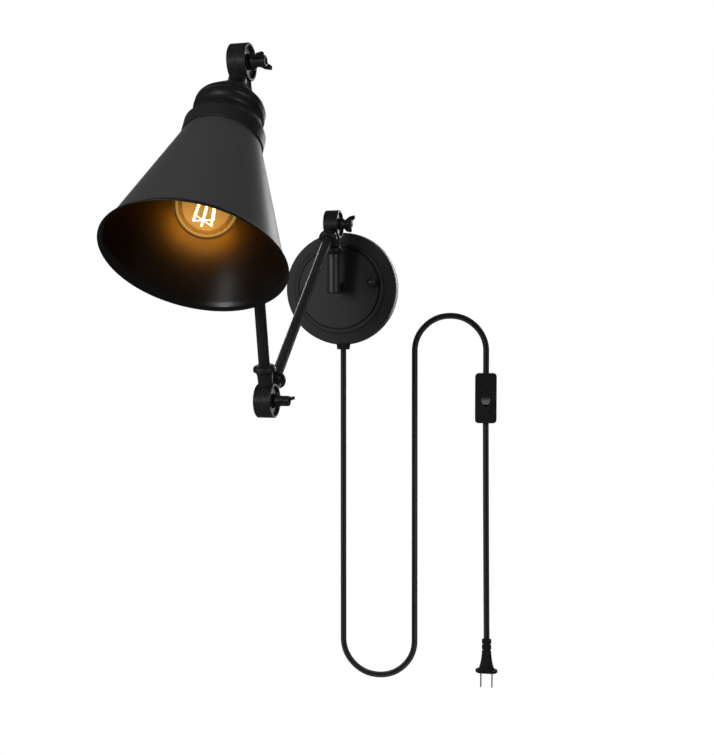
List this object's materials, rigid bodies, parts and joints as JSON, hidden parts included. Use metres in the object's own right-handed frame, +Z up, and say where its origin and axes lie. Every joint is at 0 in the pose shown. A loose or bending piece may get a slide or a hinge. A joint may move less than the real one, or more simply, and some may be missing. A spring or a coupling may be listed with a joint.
{
  "type": "swing arm wall sconce",
  "caption": "Swing arm wall sconce: domed canopy, swivel post, tube arms on disc knuckles with wing nuts, cone shade over a globe bulb, flat cord with switch and plug.",
  "frame": {"origin": "centre of the canopy on the wall plane, midway between the two wall screw holes", "axes": "+Z up, +Y into the wall, -Y out into the room, +X to the right for someone facing the lamp"},
  "size_m": [0.2862, 0.5027, 0.6421],
  "materials": {
    "black_metal": "satin black",
    "shade_metal": "satin black outside and inside",
    "zinc_steel": "bright zinc",
    "brass_metal": "plain brass",
    "moulded_black": "fine matt grain",
    "gloss_black": "polished",
    "cord_jacket": "soft matt black",
    "wire_cover": "soft black",
    "nickel_blade": "nickel",
    "cap_metal": "bright",
    "bulb_glass": "clear",
    "mount_glass": "clear",
    "filament": "glowing when lit",
    "fibre_ring": "pressed fibre"
  },
  "bodies": {
    "wall_unit": {"mounting_bracket": "zinc_steel", "canopy": "black_metal", "canopy_studs": "zinc_steel", "cap_nuts": "black_metal", "swivel_barrel": "black_metal", "stem_nipple": "zinc_steel", "nipple_nut": "zinc_steel", "barrel_end_cap": "black_metal", "cord_gland": "moulded_black", "gland_nut": "moulded_black", "canopy_wires": "wire_cover", "cord_lead": "cord_jacket", "switch_base": "moulded_black", "switch_cover": "moulded_black", "switch_screws": "zinc_steel", "switch_terminals": "brass_metal", "cord_tail": "cord_jacket", "plug_body": "moulded_black", "plug_blades": "nickel_blade"},
    "swivel": {"thrust_washer": "fibre_ring", "swivel_pin": "zinc_steel", "pin_nut": "zinc_steel", "swivel_post": "black_metal"},
    "lower_arm": {"lower_arm_rear_knuckle": "black_metal", "lower_arm_tube": "black_metal", "lower_arm_front_knuckle": "black_metal", "lower_arm_wires": "wire_cover", "lower_pivot_screw": "black_metal", "lower_friction_ring": "fibre_ring", "lower_spring_washer": "black_metal"},
    "lower_nut": {"lower_wing_nut": "black_metal"},
    "upper_arm": {"upper_arm_low_knuckle": "black_metal", "upper_arm_tube": "black_metal", "upper_arm_high_knuckle": "black_metal", "upper_arm_wires": "wire_cover", "elbow_pivot_screw": "black_metal", "elbow_friction_ring": "fibre_ring", "elbow_spring_washer": "black_metal"},
    "elbow_nut": {"elbow_wing_nut": "black_metal"},
    "shade_head": {"head_knuckle": "black_metal", "shade_pivot_screw": "black_metal", "shade_friction_ring": "fibre_ring", "shade_spring_washer": "black_metal", "shade_cap": "black_metal", "shade_band": "black_metal", "shade": "shade_metal", "head_nipple": "zinc_steel", "head_nut": "zinc_steel", "head_wires": "wire_cover", "lamp_holder": "gloss_black", "clamp_ring": "gloss_black", "socket_shell": "brass_metal", "socket_contact": "brass_metal"},
    "shade_nut": {"shade_wing_nut": "black_metal"},
    "bulb": {"bulb_base": "cap_metal", "bulb_tip": "gloss_black", "bulb_glass": "bulb_glass", "bulb_mount": "mount_glass", "bulb_filaments": "filament"},
    "rocker": {"switch_rocker": "gloss_black"}
  },
  "joints": [
    {"name": "swivel", "type": "hinge", "parent": "wall_unit", "child": "swivel", "pos_m": [0, -0.062, 0], "axis": [0, 0, 1], "range_deg": [-79.7, 90.3]},
    {"name": "lower_pivot", "type": "hinge", "parent": "swivel", "child": "lower_arm", "pos_m": [0, -0.062, 0.068], "axis": [-0.9957, 0.0924, 0], "range_deg": [-8, 120]},
    {"name": "elbow_pivot", "type": "hinge", "parent": "lower_arm", "child": "upper_arm", "pos_m": [-0.02063, -0.28433, -0.11152], "axis": [0.9957, -0.0924, 0], "range_deg": [-20, 150]},
    {"name": "shade_pivot", "type": "hinge", "parent": "upper_arm", "child": "shade_head", "pos_m": [-0.02604, -0.34266, 0.16892], "axis": [-0.9957, 0.0924, 0], "range_deg": [-2, 180]},
    {"name": "lower_nut_turn", "type": "hinge", "parent": "lower_arm", "child": "lower_nut", "pos_m": [0, -0.062, 0.068], "axis": [0.9957, -0.0924, 0], "continuous": true},
    {"name": "elbow_nut_turn", "type": "hinge", "parent": "upper_arm", "child": "elbow_nut", "pos_m": [-0.02063, -0.28433, -0.11152], "axis": [0.9957, -0.0924, 0], "continuous": true},
    {"name": "shade_nut_turn", "type": "hinge", "parent": "shade_head", "child": "shade_nut", "pos_m": [-0.02604, -0.34266, 0.16892], "axis": [0.9957, -0.0924, 0], "continuous": true},
    {"name": "bulb_turn", "type": "hinge", "parent": "shade_head", "child": "bulb", "pos_m": [-0.02604, -0.34266, 0.16892], "axis": [-0.0474, -0.5113, -0.8581], "continuous": true},
    {"name": "rocker_tilt", "type": "hinge", "parent": "wall_unit", "child": "rocker", "pos_m": [0.166, -0.0119, -0.1251], "axis": [1, 0, 0], "range_deg": [0, 16]}
  ]
}
